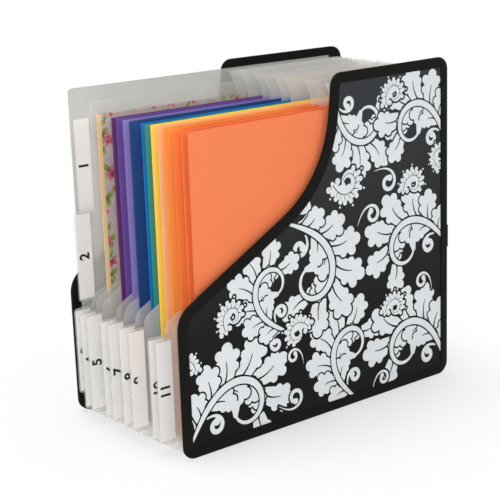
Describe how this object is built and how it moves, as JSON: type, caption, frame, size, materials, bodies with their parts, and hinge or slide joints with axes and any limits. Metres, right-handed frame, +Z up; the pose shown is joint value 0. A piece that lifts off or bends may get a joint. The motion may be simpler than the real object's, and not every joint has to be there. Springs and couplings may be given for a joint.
{
  "type": "expanding file for square craft papers",
  "caption": "Standing expanding file: bound cutaway covers and an accordion of frosted, tabbed pockets that hold stacks of square craft paper.",
  "frame": {"origin": "middle of the front cover's bottom face, where it stands on the table", "axes": "+X from the open mouth to the pleated spine, +Y from the front cover to the rear cover, +Z up"},
  "size_m": [0.366, 0.1834, 0.342],
  "materials": {
    "cover_board": "matte laminated board printed with pale leaf scrolls on charcoal",
    "binding_tape": "black woven book tape",
    "frosted_sheet": "frosted translucent polypropylene",
    "frosted_gusset": "frosted translucent film, folded",
    "label_card": "bare white card",
    "paper_floral": "matte craft paper",
    "paper_dark_purple": "matte craft paper",
    "paper_purple": "matte craft paper",
    "paper_lavender": "matte craft paper",
    "paper_navy": "matte craft paper",
    "paper_blue": "matte craft paper",
    "paper_green": "matte craft paper",
    "paper_yellow": "matte craft paper",
    "paper_light_orange": "matte craft paper",
    "paper_orange": "matte craft paper",
    "paper_red_orange_rear": "matte craft paper",
    "paper_red_orange_front": "matte craft paper",
    "paper_front_orange": "matte craft paper"
  },
  "bodies": {
    "rear_cover": {"rear_cover_board": "cover_board", "rear_cover_binding": "binding_tape", "rear_end_sheet": "frosted_sheet", "label_01": "label_card", "gusset_01": "frosted_gusset"},
    "divider_02": {"divider_02": "frosted_sheet", "label_02": "label_card", "gusset_02": "frosted_gusset"},
    "divider_03": {"divider_03": "frosted_sheet", "label_03": "label_card", "gusset_03": "frosted_gusset"},
    "divider_04": {"divider_04": "frosted_sheet", "label_04": "label_card", "gusset_04": "frosted_gusset"},
    "divider_05": {"divider_05": "frosted_sheet", "label_05": "label_card", "gusset_05": "frosted_gusset"},
    "divider_06": {"divider_06": "frosted_sheet", "label_06": "label_card", "gusset_06": "frosted_gusset"},
    "divider_07": {"divider_07": "frosted_sheet", "label_07": "label_card", "gusset_07": "frosted_gusset"},
    "divider_08": {"divider_08": "frosted_sheet", "label_08": "label_card", "gusset_08": "frosted_gusset"},
    "divider_09": {"divider_09": "frosted_sheet", "label_09": "label_card", "gusset_09": "frosted_gusset"},
    "divider_10": {"divider_10": "frosted_sheet", "label_10": "label_card", "gusset_10": "frosted_gusset"},
    "divider_11": {"divider_11": "frosted_sheet", "label_11": "label_card", "gusset_11": "frosted_gusset"},
    "front_cover": {"front_cover_board": "cover_board", "front_cover_binding": "binding_tape", "front_end_sheet": "frosted_sheet"},
    "paper_floral": {"paper_floral": "paper_floral"},
    "paper_dark_purple": {"paper_dark_purple": "paper_dark_purple"},
    "paper_purple": {"paper_purple": "paper_purple"},
    "paper_lavender": {"paper_lavender": "paper_lavender"},
    "paper_navy": {"paper_navy": "paper_navy"},
    "paper_blue": {"paper_blue": "paper_blue"},
    "paper_green": {"paper_green": "paper_green"},
    "paper_yellow": {"paper_yellow": "paper_yellow"},
    "paper_light_orange": {"paper_light_orange": "paper_light_orange"},
    "paper_orange": {"paper_orange": "paper_orange"},
    "paper_red_orange_rear": {"paper_red_orange_rear": "paper_red_orange_rear"},
    "paper_red_orange_front": {"paper_red_orange_front": "paper_red_orange_front"},
    "paper_front_orange": {"paper_front_orange": "paper_front_orange"}
  },
  "joints": [
    {"name": "pocket_01", "type": "slide", "parent": "rear_cover", "child": "divider_02", "axis": [0, 1, 0], "range_m": [-0.004, 0.0072], "deforming": ["gusset_01"]},
    {"name": "pocket_02", "type": "slide", "parent": "divider_02", "child": "divider_03", "axis": [0, 1, 0], "range_m": [-0.004, 0.0064], "deforming": ["gusset_02"]},
    {"name": "pocket_03", "type": "slide", "parent": "divider_03", "child": "divider_04", "axis": [0, 1, 0], "range_m": [-0.004, 0.0028], "deforming": ["gusset_03"]},
    {"name": "pocket_04", "type": "slide", "parent": "divider_04", "child": "divider_05", "axis": [0, 1, 0], "range_m": [-0.004, 0.009], "deforming": ["gusset_04"]},
    {"name": "pocket_05", "type": "slide", "parent": "divider_05", "child": "divider_06", "axis": [0, 1, 0], "range_m": [-0.004, 0.0038], "deforming": ["gusset_05"]},
    {"name": "pocket_06", "type": "slide", "parent": "divider_06", "child": "divider_07", "axis": [0, 1, 0], "range_m": [-0.004, 0.0064], "deforming": ["gusset_06"]},
    {"name": "pocket_07", "type": "slide", "parent": "divider_07", "child": "divider_08", "axis": [0, 1, 0], "range_m": [-0.004, 0.0118], "deforming": ["gusset_07"]},
    {"name": "pocket_08", "type": "slide", "parent": "divider_08", "child": "divider_09", "axis": [0, 1, 0], "range_m": [-0.004, 0.0038], "deforming": ["gusset_08"]},
    {"name": "pocket_09", "type": "slide", "parent": "divider_09", "child": "divider_10", "axis": [0, 1, 0], "range_m": [-0.004, 0.0052], "deforming": ["gusset_09"]},
    {"name": "pocket_10", "type": "slide", "parent": "divider_10", "child": "divider_11", "axis": [0, 1, 0], "range_m": [-0.004, 0.0042], "deforming": ["gusset_10"]},
    {"name": "pocket_11", "type": "slide", "parent": "divider_11", "child": "front_cover", "axis": [0, 1, 0], "range_m": [-0.004, 0.0034], "deforming": ["gusset_11"]},
    {"name": "paper_floral_lift", "type": "slide", "parent": "divider_03", "child": "paper_floral", "axis": [0, 0, 1], "range_m": [0, 0.31]},
    {"name": "paper_dark_purple_lift", "type": "slide", "parent": "divider_05", "child": "paper_dark_purple", "axis": [0, 0, 1], "range_m": [0, 0.31]},
    {"name": "paper_purple_lift", "type": "slide", "parent": "divider_05", "child": "paper_purple", "axis": [0, 0, 1], "range_m": [0, 0.31]},
    {"name": "paper_lavender_lift", "type": "slide", "parent": "divider_06", "child": "paper_lavender", "axis": [0, 0, 1], "range_m": [0, 0.31]},
    {"name": "paper_navy_lift", "type": "slide", "parent": "divider_07", "child": "paper_navy", "axis": [0, 0, 1], "range_m": [0, 0.31]},
    {"name": "paper_blue_lift", "type": "slide", "parent": "divider_08", "child": "paper_blue", "axis": [0, 0, 1], "range_m": [0, 0.31]},
    {"name": "paper_green_lift", "type": "slide", "parent": "divider_08", "child": "paper_green", "axis": [0, 0, 1], "range_m": [0, 0.31]},
    {"name": "paper_yellow_lift", "type": "slide", "parent": "divider_09", "child": "paper_yellow", "axis": [0, 0, 1], "range_m": [0, 0.31]},
    {"name": "paper_light_orange_lift", "type": "slide", "parent": "divider_09", "child": "paper_light_orange", "axis": [0, 0, 1], "range_m": [0, 0.31]},
    {"name": "paper_orange_lift", "type": "slide", "parent": "divider_09", "child": "paper_orange", "axis": [0, 0, 1], "range_m": [0, 0.31]},
    {"name": "paper_red_orange_rear_lift", "type": "slide", "parent": "divider_10", "child": "paper_red_orange_rear", "axis": [0, 0, 1], "range_m": [0, 0.31]},
    {"name": "paper_red_orange_front_lift", "type": "slide", "parent": "divider_11", "child": "paper_red_orange_front", "axis": [0, 0, 1], "range_m": [0, 0.31]},
    {"name": "paper_front_orange_lift", "type": "slide", "parent": "divider_11", "child": "paper_front_orange", "axis": [0, 0, 1], "range_m": [0, 0.31]}
  ]
}
